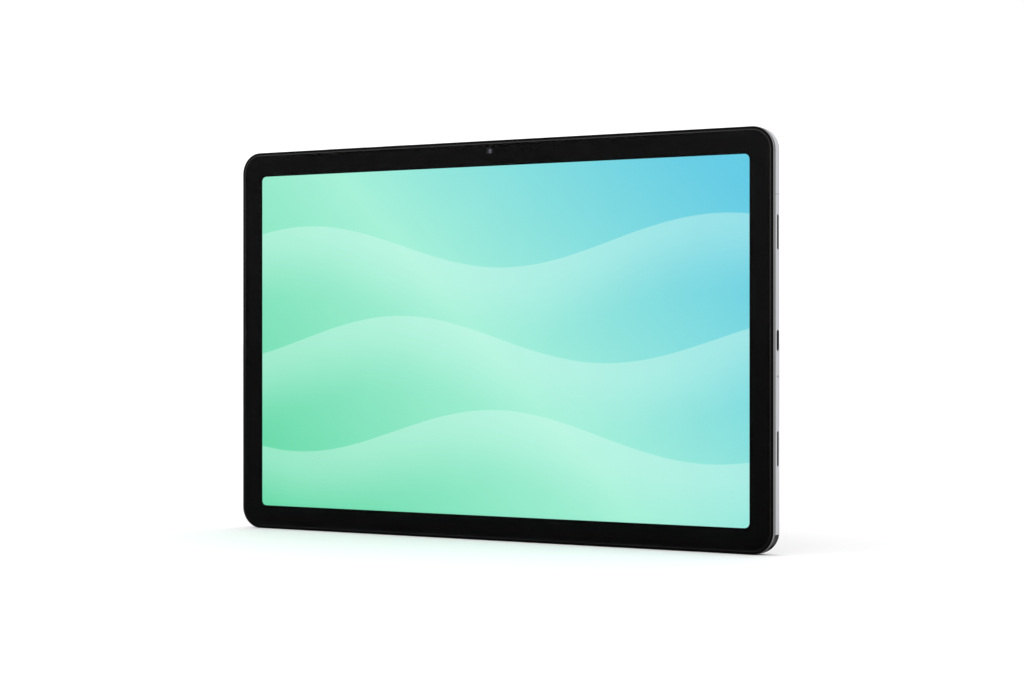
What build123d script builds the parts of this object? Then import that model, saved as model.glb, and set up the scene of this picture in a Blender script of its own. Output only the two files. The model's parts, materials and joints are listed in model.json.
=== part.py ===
from build123d import *
import math
import os

# Tablet computer, standing on its lower long edge. X runs along the long edges, to the right as
# the user sees it. Y runs from the front glass to the rear face. Z is up. The origin is the middle
# of the lower edge. Depths are counted from the front of the glass. All sizes are millimetres.

# Body
WIDTH = 257.1
HEIGHT = 168.7
THICKNESS = 6.9
CORNER_R = 9.3
WALL = 1.2
REAR_WALL = 0.8
REAR_EDGE_R = 1.0
PARTING_DEPTH = 2.1
SEAM_Z = 141.85
SEAM_WIDTH = 0.4
CLEAR = 0.15
HALF = WIDTH / 2

# Display stack, front to rear
SCREEN_WIDTH = 236.3
SCREEN_HEIGHT = 147.6
SCREEN_DROP = 0.25
SCREEN_CORNER_R = 2.2
GLASS_RIM = 0.25
GLASS_THICK = 0.6
GLASS_EDGE_IN = 1.3
GLASS_EDGE_DOWN = 0.3
INK_BACK = 0.65
PANEL_FRONT = 0.75
PANEL_BACK = 1.25
FILMS_BACK = 1.42
GUIDE_BACK = 1.82
REFLECTOR_BACK = 1.87
TRAY_BACK = 2.0
PANEL_WIDTH = 240.2
PANEL_HEIGHT = 152.4
MODULE_WIDTH = 242.6
MODULE_HEIGHT = 154.4
MODULE_CORNER_R = 2.8
MODULE_CLEAR = 0.2
SHEET_WALL = 0.2
GUIDE_LOW_Z = 9.6
GUIDE_HIGH_Z = 160.3
LAMP_PITCH = 10.0
LAMP_HALF = 2.0
LAMP_LOW_Z = 8.5
LAMP_STRIP_HALF = 115.0
LAMP_STRIP_THICK = 0.1
RIBBON_THICK = 0.12
RIBBON_HALF = 35.0
RIBBON_FRONT = 0.9
RIBBON_BACK = 2.72
RIBBON_FOLD_Z = 6.4
RIBBON_END_Z = 8.0

# Front frame and support plate
FRAME_FRONT = 0.1
FRAME_LEDGE = 0.8
FRAME_CHAMFER_IN = 0.12
FRAME_CHAMFER_DOWN = 0.9
PLATE_BACK = 2.4
PLATE_WIDTH = 253.2
PLATE_HEIGHT = 164.8
PLATE_CORNER_R = 7.5
TAB_THICK = 0.55
TAB_HALF = 5.0
TAB_BACK = 3.3
RIBBON_SLOT_HALF = 36.0
RIBBON_SLOT_LOW_Z = 6.0
FRONT_CAMERA_BAY_HALF = 2.7
FRONT_CAMERA_BAY_ABOVE = 2.4

# Openings in the edges
PORT_DEPTH = 4.45
SPEAKER_OFFSET = 42.6
SPEAKER_SLOT = (13.9, 1.65)
USB_OPENING = (8.34, 2.56)
USB_SHELL_WALL = 0.3
USB_LENGTH = 7.4
SPEAKER_BOX_XS = (111.0, 126.6)
SPEAKER_BOX_HALF = 17.0
SPEAKER_BOX_DEPTHS = (2.5, 5.9)
SPEAKER_BOX_R = 1.5
DRIVER_POCKET_HALF = 12.0
DRIVER_FRONT = 5.2
OUTLET_HALF = 6.5
OUTLET_DEPTHS = (3.8, 5.1)
MESH_OUTLINE = (15.2, 2.6)
MESH_THICK = 0.25
MESH_PITCH = 0.55
MESH_HOLE = 0.3
MESH_ROWS = 3
MESH_COLUMNS = 24
MIC_DROP = 14.15
MIC_CASE_HALF = 1.7
MIC_CASE_DEEP = 1.4
MIC_HOLE_R = 0.45
TOP_MIC_X = 20.0
JACK_HOLE_R = 1.8
JACK_DEPTH = 4.15
JACK_LENGTH = 13.5
JACK_CAP_HALF = 5.6
JACK_CAP_BACK = 6.15
JACK_CAP_THICK = 2.0
JACK_END_WALL = 2.0
JACK_BODY_HALF = 2.9
JACK_BODY_DEPTHS = (2.23, 6.07)
JACK_LEAF = (0.2, 1.6, 3.0)
JACK_LEAF_STARTS = (-4.7, -0.2)
USB_BACK_WALL = 0.8
USB_TONGUE_XS = (HALF - 7.8, HALF - 1.7)
USB_TONGUE_HALF = 3.2
USB_TONGUE_DEPTHS = (4.1, 4.8)

# Keys on the top edge
KEY_DEPTHS = (3.35, 5.55)
KEY_PROUD = 0.4
VOLUME_X = -74.95
VOLUME_LENGTH = 20.7
POWER_X = -48.35
POWER_LENGTH = 13.3
KEY_FLANGE = 0.8
KEY_FLANGE_SIDE = 0.35
KEY_FLANGE_THICK = 0.7
KEY_EDGE_R = 0.25
KEY_FLEX_Z = 165.0
KEY_FLEX_THICK = 0.15
SWITCH_XS = (-81.0, -69.0, -48.35)
SWITCH_HALF = 1.7
SWITCH_HIGH = 0.8
DOME_R = 0.8
DOME_HIGH = 0.3
BRACKET_XS = (-91, -39)
BRACKET_THICK = 0.4

# Memory card tray on the top edge
TRAY_X = 61.5
TRAY_HEAD_LENGTH = 19.0
TRAY_HEAD_THICK = 1.6
TRAY_THICK = 1.0
TRAY_BODY = (53.0, 67.0)
TRAY_LOW_Z = 145.0
TRAY_DEPTHS = (PORT_DEPTH - TRAY_THICK / 2, PORT_DEPTH + TRAY_THICK / 2)
TRAY_HEAD_HIGH = 1.15
CARD_XS = (54.2, 65.2)
CARD_ZS = (148.0, 163.0)
CARD_DEPTHS = (4.15, 4.85)
CARD_CLEAR = 0.1
CARD_LIP = 0.8
CARD_STEP = (1.3, 6.4)
SOCKET_XS = (52.5, 67.5)
SOCKET_HIGH_Z = 166.0
SOCKET_BACK = 5.3
SOCKET_WALL = 0.2
CHANNEL_X = 70.3
EJECT_DEPTHS = (4.05, 4.85)
ROD_HALF = 0.4
LEVER_LENGTH = 16.0
LEVER_SHIFT = 1.5
LEVER_HUB_R = 1.5
EJECT_X = 69.2
EJECT_HOLE_R = 0.45
LEVER_PIVOT = (62.0, 142.0)
LEVER_HALF = 0.8
ROD_TRAVEL = 1.2
PIN_R = 0.8

# Rear and front cameras
CAMERA_X = 112.0
CAMERA_Z = 155.0
CAMERA_RING_R = 5.6
CAMERA_NECK_R = 5.0
CAMERA_GLASS_R = 4.35
CAMERA_PROUD = 0.95
CAMERA_WINDOW_FRONT = 7.2
CAMERA_SEAT_R = 3.6
CAMERA_BODY_HALF = 4.7
CAMERA_BODY_DEPTHS = (2.5, 6.0)
BARREL_R = 2.6
BARREL_CLEAR = 0.1
BARREL_DEPTHS = (4.5, 6.5)
BARREL_STEP_R = 2.1
BARREL_TOP = 6.8
FRONT_CAMERA_Z = 164.2
FRONT_CAMERA_RING_R = 1.5
FRONT_CAMERA_LENS_R = 0.8

# Boards and battery
BOARD_FRONT = 2.9
BOARD_BACK = 3.6
SUB_BOARD_FRONT = 4.05
SUB_BOARD_BACK = 4.85
CELL_FRONT = 2.55
CELL_BACK = 5.75
CELL_LOW_Z = 18.0
CELL_HIGH_Z = 110.0
CELL_XS = (0.6, 76.0)
CELL_EDGE_R = 0.8
TAPE_XS = (-64, -38, -12, 12, 38, 64)
TAPE_HALF = 6.0
SHIELD_BACK = 5.0
LINK_FLEX_X = 97.2
LINK_FLEX_WIDTH = 4.5
LINK_FLEX_HALF_THICK = 0.075
CABLE_DEPTH = 4.3
CABLE_R = 0.4
CABLE_BEND_R = 6.0
GRAPHITE_THICK = 0.1
SCREW_R = 0.7
SCREW_CLEAR = 0.15
SCREW_HEAD_R = 1.4
SCREW_HEAD_HIGH = 0.6
SCREW_CROSS = (1.5, 0.35)
BUSH_R = 1.6
MAIN_SCREWS = ((18, 122), (54, 122), (104.5, 122), (18, 162), (98, 162))
SUB_SCREWS = ((100, 66), (120, 97))

INSIDE_BACK = THICKNESS - REAR_WALL
ARC_X = HALF - CORNER_R
ARC_Z = CORNER_R
MIDDLE_Z = HEIGHT / 2


def y_at(depth):
    """Y of a depth behind the front of the glass."""
    return depth - THICKNESS / 2


def front_plane(depth):
    """Plane facing the user at this depth, centred on the screen."""
    return Plane(origin=(0, y_at(depth), MIDDLE_Z), x_dir=(1, 0, 0), z_dir=(0, -1, 0))


def slab(profile, front, back):
    """Solid with this outline, seen from the front, between two depths."""
    return extrude(front_plane(back) * profile, back - front)


def at(x, z):
    """Place in the outline's plane, from X and Z."""
    return Pos(x, z - MIDDLE_Z)


def outline(inset):
    """The body's outline, drawn in by this much."""
    return RectangleRounded(WIDTH - 2 * inset, HEIGHT - 2 * inset, CORNER_R - inset)


def block(xs, zs, depths):
    """Box between two values of X, of Z and of depth."""
    size = Box(xs[1] - xs[0], depths[1] - depths[0], zs[1] - zs[0])
    return Pos(sum(xs) / 2, y_at(sum(depths) / 2), sum(zs) / 2) * size


def disc(x, z, radius, front, back):
    """Round solid with its axis along Y."""
    return slab(at(x, z) * Circle(radius), front, back)


def side_plane(side, z, depth=PORT_DEPTH):
    """Plane on the right (1) or left (-1) edge, facing outward, with its own X along Z."""
    return Plane(origin=(side * HALF, y_at(depth), z), x_dir=(0, 0, 1), z_dir=(side, 0, 0))


def top_plane(x, z=HEIGHT, depth=PORT_DEPTH):
    """Plane facing up, with its own X along X."""
    return Plane(origin=(x, y_at(depth), z), x_dir=(1, 0, 0), z_dir=(0, 0, 1))


def side_hole(side, z, profile, inner=0.0, outer=WALL + 1):
    """Cutter through an edge, from inner to outer millimetres inside the surface."""
    return extrude(side_plane(side, z) * Pos(0, 0, -inner) * profile, inner - outer)


def top_hole(x, profile, inner=0.0, outer=WALL + 1):
    """Cutter through the top edge."""
    return extrude(top_plane(x) * Pos(0, 0, -inner) * profile, inner - outer)


def jack_plane():
    """Plane at the lower right corner's centre, facing diagonally out along the jack's axis."""
    slant = math.sqrt(0.5)
    origin = (ARC_X, y_at(JACK_DEPTH), ARC_Z)
    return Plane(origin=origin, x_dir=(slant, 0, slant), z_dir=(slant, 0, -slant))


def jack_block(half_width, depths, inner, outer):
    """Box lined up with the jack, from inner to outer along its axis."""
    middle_depth = sum(depths) / 2
    size = Box(2 * half_width, depths[1] - depths[0], outer - inner)
    return jack_plane() * Pos(0, JACK_DEPTH - middle_depth, (inner + outer) / 2) * size


def jack_bore():
    """The plug's space, from its blind end to beyond the corner."""
    start = CORNER_R - JACK_LENGTH
    return extrude(jack_plane() * Pos(0, 0, start) * Circle(JACK_HOLE_R), JACK_LENGTH + 1)


# ---- Glass and display -------------------------------------------------------------------------


def cover_glass():
    """Front glass, its edge rounded towards the front frame."""
    glass = slab(outline(GLASS_RIM), 0, GLASS_THICK)
    face = glass.faces().sort_by(Axis.Y)[0]
    return chamfer(face.edges(), GLASS_EDGE_IN, GLASS_EDGE_DOWN, reference=face)


def ink_border():
    """Black print behind the glass, open over the screen and the front camera."""
    border = slab(outline(GLASS_RIM + 0.1), GLASS_THICK, INK_BACK)
    screen = RectangleRounded(SCREEN_WIDTH, SCREEN_HEIGHT, SCREEN_CORNER_R)
    border -= slab(at(0, MIDDLE_Z - SCREEN_DROP) * screen, 0, 1)
    return border - disc(0, FRONT_CAMERA_Z, FRONT_CAMERA_RING_R, 0, 1)


def optical_adhesive():
    """Clear sheet between the glass and the panel."""
    sheet = RectangleRounded(PANEL_WIDTH, PANEL_HEIGHT - 1, SCREEN_CORNER_R)
    return slab(sheet, INK_BACK, PANEL_FRONT)


def lcd_panel():
    """Liquid crystal panel with its polarisers."""
    return slab(RectangleRounded(PANEL_WIDTH, PANEL_HEIGHT, 1), PANEL_FRONT, PANEL_BACK)


def optical_films():
    """Prism and diffuser films."""
    return slab(RectangleRounded(PANEL_WIDTH, PANEL_HEIGHT - 2, 1), PANEL_BACK, FILMS_BACK)


def guide_sheet(front, back):
    """Sheet the size of the light guide."""
    middle = (GUIDE_LOW_Z + GUIDE_HIGH_Z) / 2
    sheet = RectangleRounded(PANEL_WIDTH, GUIDE_HIGH_Z - GUIDE_LOW_Z, 1)
    return slab(at(0, middle) * sheet, front, back)


def light_guide():
    """Clear sheet that spreads the light of the strip below it."""
    return guide_sheet(FILMS_BACK, GUIDE_BACK)


def reflector_sheet():
    """White sheet behind the light guide."""
    return guide_sheet(GUIDE_BACK, REFLECTOR_BACK)


def led_strip():
    """Flexible strip along the lower edge, with its light sources shining up."""
    strip_front = GUIDE_BACK - LAMP_STRIP_THICK
    high = GUIDE_LOW_Z - 0.1
    strip = block((-LAMP_STRIP_HALF, LAMP_STRIP_HALF), (8.0, high), (strip_front, GUIDE_BACK))
    for place in range(-11, 12):
        middle = place * LAMP_PITCH
        xs = (middle - LAMP_HALF, middle + LAMP_HALF)
        strip += block(xs, (LAMP_LOW_Z, high), (FILMS_BACK, strip_front))
    return strip


def backlight_tray():
    """Steel tray that holds the light guide and the films."""
    tray = slab(
        RectangleRounded(MODULE_WIDTH, MODULE_HEIGHT, MODULE_CORNER_R), PANEL_BACK, TRAY_BACK
    )
    inner = RectangleRounded(
        MODULE_WIDTH - 2 * SHEET_WALL,
        MODULE_HEIGHT - 2 * SHEET_WALL,
        MODULE_CORNER_R - SHEET_WALL,
    )
    return tray - slab(inner, 0, REFLECTOR_BACK)


def display_flex():
    """Ribbon from the panel's lower edge, folded through the frame to the timing board."""
    panel_low = MIDDLE_Z - PANEL_HEIGHT / 2
    outer = [
        (y_at(RIBBON_FRONT), panel_low),
        (y_at(RIBBON_FRONT), RIBBON_FOLD_Z),
        (y_at(RIBBON_BACK), RIBBON_FOLD_Z),
        (y_at(RIBBON_BACK), RIBBON_END_Z),
    ]
    inner = [
        (y_at(RIBBON_BACK - RIBBON_THICK), RIBBON_END_Z),
        (y_at(RIBBON_BACK - RIBBON_THICK), RIBBON_FOLD_Z + RIBBON_THICK),
        (y_at(RIBBON_FRONT + RIBBON_THICK), RIBBON_FOLD_Z + RIBBON_THICK),
        (y_at(RIBBON_FRONT + RIBBON_THICK), panel_low),
    ]
    section = Plane.YZ * make_face(Polyline(*outer, *inner, close=True))
    return Pos(-RIBBON_HALF, 0, 0) * extrude(section, 2 * RIBBON_HALF)


def timing_board():
    """Narrow board behind the lower edge that drives the panel."""
    board = block((-72, 72), (8.0, 15.0), (2.5, 3.0))
    for middle in (-48, -16, 16, 48):
        board += block((middle - 6, middle + 6), (10.0, 12.5), (3.0, 3.6))
    return board


def glass_tape():
    """Black foam tape that holds the glass on the front frame."""
    ring = slab(outline(GLASS_RIM + 0.5), INK_BACK, FRAME_LEDGE)
    ring -= slab(RectangleRounded(MODULE_WIDTH + 1, MODULE_HEIGHT + 1, 3), 0, 1)
    return ring - front_camera_bay(0, 1)


def display_foam():
    """Thin foam frame between the display and the support plate."""
    ring = slab(RectangleRounded(MODULE_WIDTH - 0.6, MODULE_HEIGHT - 0.6, 2), TRAY_BACK, PARTING_DEPTH)
    return ring - slab(RectangleRounded(SCREEN_WIDTH - 4, SCREEN_HEIGHT - 4, 2), 1, 3)


# ---- Frame and covers --------------------------------------------------------------------------


def front_camera_bay(front, back):
    """Space for the front camera behind the top border."""
    low = MIDDLE_Z + MODULE_HEIGHT / 2
    xs = (-FRONT_CAMERA_BAY_HALF, FRONT_CAMERA_BAY_HALF)
    return block(xs, (low, FRONT_CAMERA_Z + FRONT_CAMERA_BAY_ABOVE), (front, back))


def snap_tabs():
    """Tongues of the front frame that clip inside the rear cover's walls."""
    reach = (PARTING_DEPTH, TAB_BACK)
    thick = (WALL + 0.05, WALL + 0.05 + TAB_THICK)
    tabs = []
    for middle in (-106, -20, 25, 92):
        zs = (HEIGHT - thick[1], HEIGHT - thick[0])
        tabs.append(block((middle - TAB_HALF, middle + TAB_HALF), zs, reach))
    for middle in (-100, -50, 0, 50, 95):
        tabs.append(block((middle - TAB_HALF, middle + TAB_HALF), thick, reach))
    for offset in (-64, -24, 24, 64):
        zs = (MIDDLE_Z + offset - 4, MIDDLE_Z + offset + 4)
        tabs.append(block((HALF - thick[1], HALF - thick[0]), zs, reach))
        tabs.append(block((thick[0] - HALF, thick[1] - HALF), zs, reach))
    return tabs


def front_frame():
    """Moulded ring round the glass, with the ledge the glass is stuck to."""
    ring = slab(outline(0), FRAME_FRONT, PARTING_DEPTH)
    face = ring.faces().sort_by(Axis.Y)[0]
    ring = chamfer(face.edges(), FRAME_CHAMFER_IN, FRAME_CHAMFER_DOWN, reference=face)
    ring -= slab(outline(GLASS_RIM - 0.05), 0, FRAME_LEDGE)
    opening = RectangleRounded(
        MODULE_WIDTH + 2 * MODULE_CLEAR, MODULE_HEIGHT + 2 * MODULE_CLEAR, MODULE_CORNER_R
    )
    ring -= slab(opening, 0, 3)
    ring -= front_camera_bay(0, 3)
    slot = (-RIBBON_SLOT_HALF, RIBBON_SLOT_HALF)
    ring -= block(slot, (RIBBON_SLOT_LOW_Z, 8.0), (0, 3))
    for tab in snap_tabs():
        ring += tab
    return ring


def mid_plate():
    """Sheet metal chassis behind the display, with threaded bushes for the boards."""
    sheet = RectangleRounded(PLATE_WIDTH, PLATE_HEIGHT, PLATE_CORNER_R)
    plate = slab(sheet, PARTING_DEPTH, PLATE_BACK)
    jack_start = CORNER_R - JACK_LENGTH - JACK_END_WALL - 0.5
    plate -= jack_block(3.4, (1, 7), jack_start, CORNER_R + 3)
    plate -= front_camera_bay(1, 3)
    plate -= block((-RIBBON_SLOT_HALF, RIBBON_SLOT_HALF), (RIBBON_SLOT_LOW_Z, 7.2), (1, 3))
    for x in (-95, 90):
        for z in (30, 60, 90):
            plate -= slab(at(x, z) * RectangleRounded(14, 18, 3), 1, 3)
    for places, top in ((MAIN_SCREWS, BOARD_FRONT), (SUB_SCREWS, SUB_BOARD_FRONT)):
        for x, z in places:
            plate += disc(x, z, BUSH_R, PLATE_BACK, top)
            plate -= disc(x, z, SCREW_R, 2.3, 5)
    return plate


def housing():
    """The whole metal tray, before it is divided at the antenna seam."""
    tray = slab(outline(0), PARTING_DEPTH, THICKNESS)
    tray = fillet(tray.faces().sort_by(Axis.Y)[-1].edges(), REAR_EDGE_R)
    tray = chamfer(tray.faces().sort_by(Axis.Y)[0].edges(), 0.08)
    tray -= slab(outline(WALL), 0, INSIDE_BACK)
    for side in (-1, 1):
        for z in (MIDDLE_Z - SPEAKER_OFFSET, MIDDLE_Z + SPEAKER_OFFSET):
            tray -= side_hole(side, z, SlotOverall(*SPEAKER_SLOT))
    tray -= side_hole(1, MIDDLE_Z, SlotOverall(*USB_OPENING))
    tray -= side_hole(1, MIDDLE_Z - MIC_DROP, Circle(MIC_HOLE_R))
    tray -= top_hole(TOP_MIC_X, Circle(MIC_HOLE_R))
    key_width = KEY_DEPTHS[1] - KEY_DEPTHS[0] + 2 * CLEAR
    tray -= top_hole(VOLUME_X, SlotOverall(VOLUME_LENGTH + 2 * CLEAR, key_width))
    tray -= top_hole(POWER_X, SlotOverall(POWER_LENGTH + 2 * CLEAR, key_width))
    tray -= top_hole(TRAY_X, SlotOverall(TRAY_HEAD_LENGTH + 0.2, TRAY_HEAD_THICK + 0.2))
    tray -= disc(CAMERA_X, CAMERA_Z, CAMERA_NECK_R, 5, 8)
    return tray - cap_space()


def cap_space():
    """Notch in the lower right corner for the jack's cap."""
    notch = jack_block(
        JACK_CAP_HALF, (PARTING_DEPTH, JACK_CAP_BACK), CORNER_R - JACK_CAP_THICK, CORNER_R + 2
    )
    along_jack = Axis((0, 0, 0), jack_plane().z_dir)
    return fillet(notch.edges().filter_by(along_jack).group_by(Axis.Y)[-1], 0.9)


def band(low, high):
    """Everything between two heights."""
    return block((-HALF - 5, HALF + 5), (low, high), (-5, THICKNESS + 5))


def rear_cover():
    """Large lower part of the metal housing."""
    return housing() & band(-5, SEAM_Z - SEAM_WIDTH / 2)


def antenna_cover():
    """Upper strip of the metal housing."""
    return housing() & band(SEAM_Z + SEAM_WIDTH / 2, HEIGHT + 5)


def antenna_seam():
    """Plastic line that insulates the upper strip from the rear cover."""
    return housing() & band(SEAM_Z - SEAM_WIDTH / 2, SEAM_Z + SEAM_WIDTH / 2)


def jack_cap():
    """Black corner insert round the mouth of the headphone jack."""
    cap = slab(outline(0), PARTING_DEPTH, THICKNESS) & cap_space()
    return cap - jack_bore()


# ---- Edge connectors and sound -----------------------------------------------------------------


def headphone_jack():
    """Moulded socket for a 3.5 mm plug, set diagonally in the corner."""
    start = CORNER_R - JACK_LENGTH - JACK_END_WALL
    body = jack_block(JACK_BODY_HALF, JACK_BODY_DEPTHS, start, CORNER_R - JACK_CAP_THICK)
    return body - jack_bore()


def jack_contacts():
    """Spring leaves along both sides of the socket."""
    leaves = []
    offset = JACK_BODY_HALF + JACK_LEAF[0] / 2
    for side in (-1, 1):
        for start in JACK_LEAF_STARTS:
            middle = start + JACK_LEAF[2] / 2
            leaves.append(jack_plane() * Pos(side * offset, 0, middle) * Box(*JACK_LEAF))
    return Compound(children=leaves)


def usb_outline(grow):
    """The port's opening, grown by this much."""
    return SlotOverall(USB_OPENING[0] + 2 * grow, USB_OPENING[1] + 2 * grow)


def usb_shell():
    """Drawn steel shell of the USB-C socket, closed at its inner end."""
    inner, outer = WALL, WALL + USB_LENGTH
    shell = side_hole(1, MIDDLE_Z, usb_outline(USB_SHELL_WALL), inner, outer)
    return shell - side_hole(1, MIDDLE_Z, usb_outline(0), inner, outer - USB_BACK_WALL)


def usb_tongue():
    """Contact tongue in the middle of the USB-C socket."""
    zs = (MIDDLE_Z - USB_TONGUE_HALF, MIDDLE_Z + USB_TONGUE_HALF)
    return block(USB_TONGUE_XS, zs, USB_TONGUE_DEPTHS)


def speaker_box(side, offset):
    """Closed sound box with its outlet at the edge and its driver facing the rear."""
    middle = MIDDLE_Z + offset
    inner_x, outer_x = SPEAKER_BOX_XS
    zs = (middle - SPEAKER_BOX_HALF, middle + SPEAKER_BOX_HALF)
    pocket_zs = (middle - DRIVER_POCKET_HALF, middle + DRIVER_POCKET_HALF)
    outlet_zs = (middle - OUTLET_HALF, middle + OUTLET_HALF)
    body = block(SPEAKER_BOX_XS, zs, SPEAKER_BOX_DEPTHS)
    body = fillet(body.edges().filter_by(Axis.Y), SPEAKER_BOX_R)
    body -= block((inner_x + 1.2, outer_x - 3.2), pocket_zs, (DRIVER_FRONT, THICKNESS))
    body -= block((outer_x - 2.4, outer_x + 1), outlet_zs, OUTLET_DEPTHS)
    return body if side > 0 else body.mirror(Plane.YZ)


def speaker_drivers():
    """Driver plates with their raised centres, one in each sound box."""
    drivers = []
    for side in (-1, 1):
        for offset in (-SPEAKER_OFFSET, SPEAKER_OFFSET):
            middle = MIDDLE_Z + offset
            plate = block((112.3, 123.3), (middle - 11.9, middle + 11.9), (DRIVER_FRONT, 5.45))
            crown = block((114.2, 121.4), (middle - 9.5, middle + 9.5), (5.45, 5.75))
            crown = fillet(crown.edges().filter_by(Axis.Y), 2.5)
            driver = plate + crown
            drivers.append(driver if side > 0 else driver.mirror(Plane.YZ))
    return Compound(children=drivers)


def speaker_meshes():
    """Dust meshes behind the four speaker slots, with rows of fine holes."""
    meshes = []
    for side in (-1, 1):
        for offset in (-SPEAKER_OFFSET, SPEAKER_OFFSET):
            middle = MIDDLE_Z + offset
            mesh = side_hole(side, middle, SlotOverall(*MESH_OUTLINE), WALL, WALL + MESH_THICK)
            places = GridLocations(MESH_PITCH, MESH_PITCH, MESH_COLUMNS, MESH_ROWS)
            holes = Sketch() + [place * Rectangle(MESH_HOLE, MESH_HOLE) for place in places]
            mesh -= side_hole(side, middle, holes, WALL - MESH_THICK, WALL + 2 * MESH_THICK)
            meshes.append(mesh)
    return Compound(children=meshes)


def microphones():
    """Two sealed microphones, each behind its own small hole."""
    mic_z = MIDDLE_Z - MIC_DROP
    zs = (mic_z - MIC_CASE_HALF, mic_z + MIC_CASE_HALF)
    side_mic = block((HALF - WALL - MIC_CASE_DEEP, HALF - WALL), zs, (3.2, 5.7))
    side_mic -= side_hole(1, mic_z, Circle(MIC_HOLE_R), WALL, WALL + 0.6)
    xs = (TOP_MIC_X - MIC_CASE_HALF, TOP_MIC_X + MIC_CASE_HALF)
    top_mic = block(xs, (HEIGHT - WALL - MIC_CASE_DEEP, HEIGHT - WALL), (3.6, 5.7))
    top_mic -= top_hole(TOP_MIC_X, Circle(MIC_HOLE_R), WALL, WALL + 0.6)
    return Compound(children=[side_mic, top_mic])


# ---- Keys --------------------------------------------------------------------------------------


def key(middle, length, flange_high):
    """Key bar with the flange that keeps it behind the wall."""
    depth_width = KEY_DEPTHS[1] - KEY_DEPTHS[0]
    crown = HEIGHT + KEY_PROUD
    bar = extrude(top_plane(middle, crown) * SlotOverall(length, depth_width), flange_high - crown)
    bar = fillet(bar.faces().sort_by(Axis.Z)[-1].edges(), KEY_EDGE_R)
    flange = SlotOverall(length + 2 * KEY_FLANGE, depth_width + 2 * KEY_FLANGE_SIDE)
    return bar + extrude(top_plane(middle, flange_high) * flange, -KEY_FLANGE_THICK)


def volume_key():
    """Long rocking key."""
    return key(VOLUME_X, VOLUME_LENGTH, HEIGHT - WALL - 0.4)


def power_key():
    """Short key that presses straight in."""
    return key(POWER_X, POWER_LENGTH, HEIGHT - WALL - 0.1)


def key_switches():
    """Dome switches under the keys' pressing points."""
    switches = []
    top = KEY_FLEX_Z + SWITCH_HIGH
    for x in SWITCH_XS:
        case = block((x - SWITCH_HALF, x + SWITCH_HALF), (KEY_FLEX_Z, top), (3.3, 5.6))
        dome = extrude(top_plane(x, top) * Circle(DOME_R), DOME_HIGH)
        switches.append(case + dome)
    return Compound(children=switches)


def key_flex():
    """Ribbon that carries the switches and runs down to the main board."""
    low = KEY_FLEX_Z - KEY_FLEX_THICK
    board_side = (BOARD_BACK, BOARD_BACK + KEY_FLEX_THICK)
    ribbon = block((-90, -38), (low, KEY_FLEX_Z), (3.2, 5.7))
    ribbon += block((-38, -32), (low, KEY_FLEX_Z), (board_side[1], 5.7))
    ribbon += block((-38, -32), (150.0, KEY_FLEX_Z), board_side)
    return ribbon + block((-38, 21), (146.0, 150.0), board_side)


def key_bracket():
    """Folded steel bracket that backs the key ribbon."""
    high = KEY_FLEX_Z - KEY_FLEX_THICK
    bracket = block(BRACKET_XS, (high - BRACKET_THICK, high), (PLATE_BACK, 5.7))
    bracket += block(BRACKET_XS, (158.0, high), (PLATE_BACK, PLATE_BACK + 0.3))
    for x in (BRACKET_XS[0] + 5, BRACKET_XS[1] - 5):
        bracket -= disc(x, 160.5, 0.8, 2, 3)
    return bracket


# ---- Memory card tray --------------------------------------------------------------------------


def card_tray():
    """Tray with an open pocket for a memory card and the head that closes the slot."""
    head_low = HEIGHT - WALL
    slot = SlotOverall(TRAY_HEAD_LENGTH, TRAY_HEAD_THICK)
    head = extrude(top_plane(TRAY_X, head_low) * slot, TRAY_HEAD_HIGH)
    head = fillet(head.faces().sort_by(Axis.Z)[-1].edges(), 0.15)
    body = block(TRAY_BODY, (TRAY_LOW_Z, head_low), TRAY_DEPTHS)
    body = fillet(body.edges().filter_by(Axis.Y).group_by(Axis.Z)[0], 1.0)
    for grow, depths in ((CARD_CLEAR, (CARD_DEPTHS[0], THICKNESS)), (-CARD_LIP, (3, 5))):
        xs = (CARD_XS[0] - grow, CARD_XS[1] + grow)
        body -= block(xs, (CARD_ZS[0] - grow, CARD_ZS[1] + grow), depths)
    tray = head + body
    return tray - extrude(top_plane(EJECT_X, head_low - 0.1) * Circle(EJECT_HOLE_R), 2)


def memory_card():
    """Memory card lying in the tray, with its one stepped side."""
    right, low = CARD_XS[1], CARD_ZS[0]
    card = block(CARD_XS, CARD_ZS, CARD_DEPTHS)
    card -= block((right - CARD_STEP[0], right + 1), (low - 1, low + CARD_STEP[1]), (4, 5))
    return fillet(card.edges().filter_by(Axis.Y).group_by(Axis.Z)[-1], 0.7)


def card_socket():
    """Sheet metal socket for the tray, with a channel for the rod and a pin for the lever."""
    left, right = SOCKET_XS
    low = TRAY_LOW_Z - 0.5
    floor = BOARD_BACK + SOCKET_WALL
    roof = SOCKET_BACK - SOCKET_WALL
    socket = block(SOCKET_XS, (low, SOCKET_HIGH_Z), (BOARD_BACK, SOCKET_BACK))
    socket -= block((left + 0.3, right - 0.3), (low + SOCKET_WALL, SOCKET_HIGH_Z + 1), (floor, roof))
    socket -= block((54.5, 58.5), (low - 0.5, TRAY_LOW_Z), (floor, roof))
    socket += block((right, CHANNEL_X), (low, SOCKET_HIGH_Z), (BOARD_BACK, floor))
    socket += block((CHANNEL_X - SOCKET_WALL, CHANNEL_X), (low, SOCKET_HIGH_Z), (floor, 5.0))
    x, z = LEVER_PIVOT
    socket += block((left, CHANNEL_X), (z - 2.5, low), (BOARD_BACK, floor))
    return socket + disc(x, z, PIN_R, floor, 5.05)


def eject_rod():
    """Rod that a pin through the tray's head pushes down, with play before it meets the lever."""
    low = LEVER_PIVOT[1] + LEVER_HALF + ROD_TRAVEL + 0.1
    zs = (low, HEIGHT - WALL - 0.5)
    return block((EJECT_X - ROD_HALF, EJECT_X + ROD_HALF), zs, EJECT_DEPTHS)


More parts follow.
